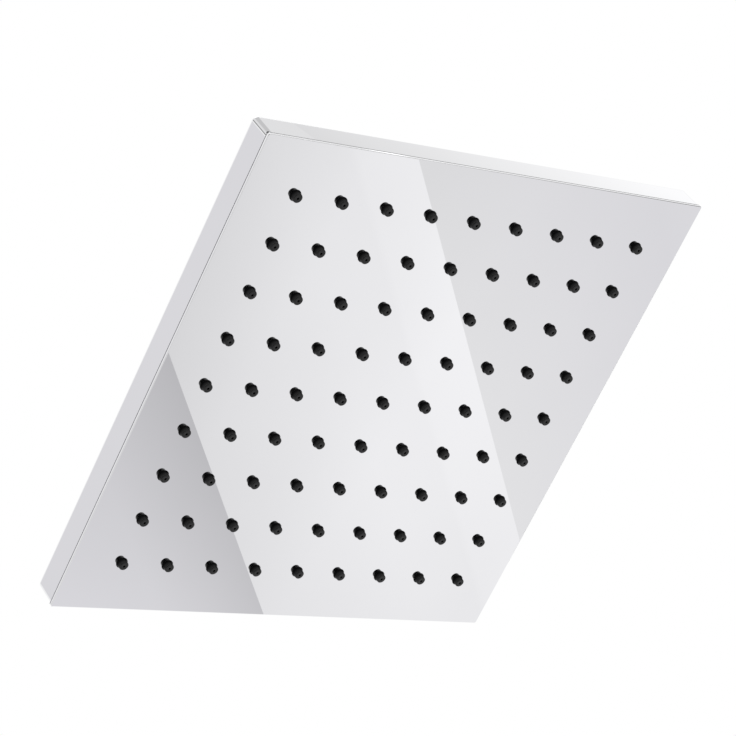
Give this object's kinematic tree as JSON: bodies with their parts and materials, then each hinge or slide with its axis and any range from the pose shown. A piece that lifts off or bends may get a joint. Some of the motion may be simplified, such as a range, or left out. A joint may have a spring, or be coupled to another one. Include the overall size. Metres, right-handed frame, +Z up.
{
  "type": "rain shower head",
  "caption": "Thin square rain shower head of polished steel, with a grid of black rubber spray nozzles underneath and a ball swivel with a threaded inlet on its back.",
  "frame": {"origin": "centre of the inlet's mouth, where the shower arm screws in", "axes": "+Z up out of the inlet along the water's way, the spray face pointing down, X and Y along the square's sides"},
  "size_m": [0.203, 0.203, 0.0629],
  "materials": {
    "polished_steel": "mirror-polished stainless steel sheet",
    "chromed_brass": "bright chrome on brass",
    "nozzle_rubber": "matt black silicone",
    "seal_rubber": "black rubber",
    "nylon": "natural nylon",
    "screen_steel": "thin steel sheet",
    "regulator_plastic": "pale acetal"
  },
  "bodies": {
    "inlet": {"swivel_ball": "chromed_brass", "inlet_washer": "seal_rubber", "filter_screen": "screen_steel", "flow_regulator": "regulator_plastic"},
    "upper_seat": {"friction_ring": "nylon"},
    "lower_seat": {"ball_seal": "seal_rubber"},
    "head": {"face_plate": "polished_steel", "back_pan": "polished_steel", "nozzle_row_1": "nozzle_rubber", "nozzle_row_2": "nozzle_rubber", "nozzle_row_3": "nozzle_rubber", "nozzle_row_4": "nozzle_rubber", "nozzle_row_5": "nozzle_rubber", "nozzle_row_6": "nozzle_rubber", "nozzle_row_7": "nozzle_rubber", "nozzle_row_8": "nozzle_rubber", "nozzle_row_9": "nozzle_rubber", "inlet_stub": "chromed_brass", "ball_nut": "chromed_brass"}
  },
  "joints": [
    {"name": "tilt_x", "type": "hinge", "parent": "inlet", "child": "upper_seat", "pos_m": [0, 0, -0.0341], "axis": [1, 0, 0], "range_deg": [-12, 12]},
    {"name": "tilt_y", "type": "hinge", "parent": "upper_seat", "child": "lower_seat", "pos_m": [0, 0, -0.0341], "axis": [0, 1, 0], "range_deg": [-12, 12]},
    {"name": "spin", "type": "hinge", "parent": "lower_seat", "child": "head", "pos_m": [0, 0, -0.0341], "axis": [0, 0, 1], "continuous": true}
  ]
}
